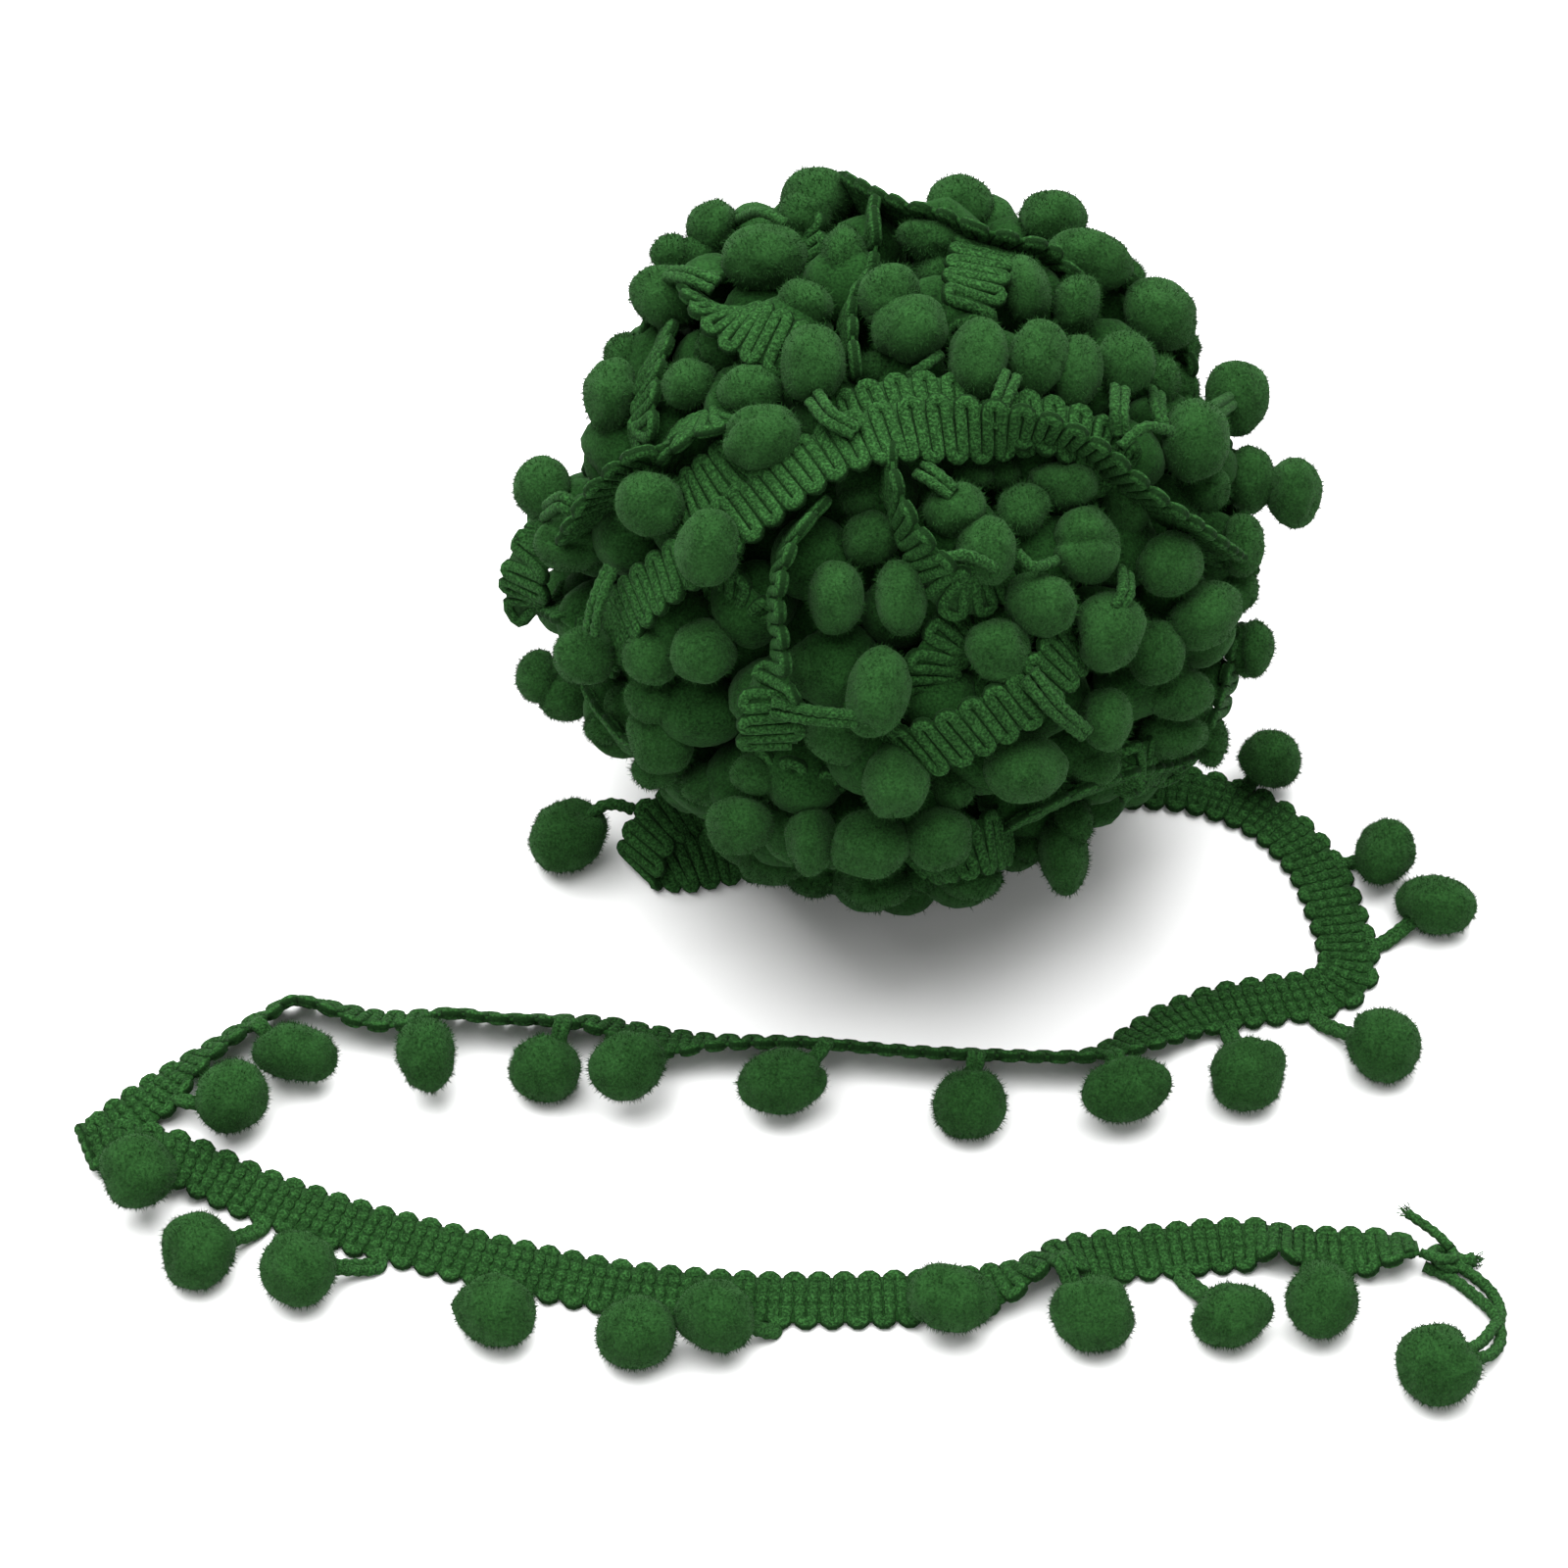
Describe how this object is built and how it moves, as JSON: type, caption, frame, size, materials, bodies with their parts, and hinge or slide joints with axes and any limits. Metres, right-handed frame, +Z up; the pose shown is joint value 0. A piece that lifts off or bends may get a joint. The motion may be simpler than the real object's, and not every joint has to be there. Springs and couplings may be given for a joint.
{
  "type": "pompom fringe trim",
  "caption": "Wound ball of pompom fringe trim: a ribbed heading tape edged with felt pompoms on cord loops, its loose end laid out in two runs.",
  "frame": {"origin": "middle of the ball's flat rest spot, on the surface that the trim lies on", "axes": "+X to the viewer's right along the laid-out end, +Y away from the viewer, +Z up"},
  "size_m": [0.2144, 0.1747, 0.1107],
  "materials": {
    "wound_trim": "bottle green felt pompoms and ribbed tape, wound",
    "heading_tape": "bottle green ribbed polyester yarn tape, matt with a fine speckle",
    "pompom_felt": "bottle green felted pompoms, velvety and matt",
    "knot_cord": "bottle green twisted yarn cord"
  },
  "bodies": {
    "root": {"wound_ball": "wound_trim", "tail_tape": "heading_tape", "fringe_run_1": "pompom_felt", "fringe_run_2": "pompom_felt", "fringe_run_3": "pompom_felt", "fringe_run_4": "pompom_felt", "fringe_run_5": "pompom_felt", "fringe_run_6": "pompom_felt", "fringe_run_7": "pompom_felt", "fringe_run_8": "pompom_felt", "fringe_run_9": "pompom_felt", "end_knot": "knot_cord"}
  },
  "joints": []
}
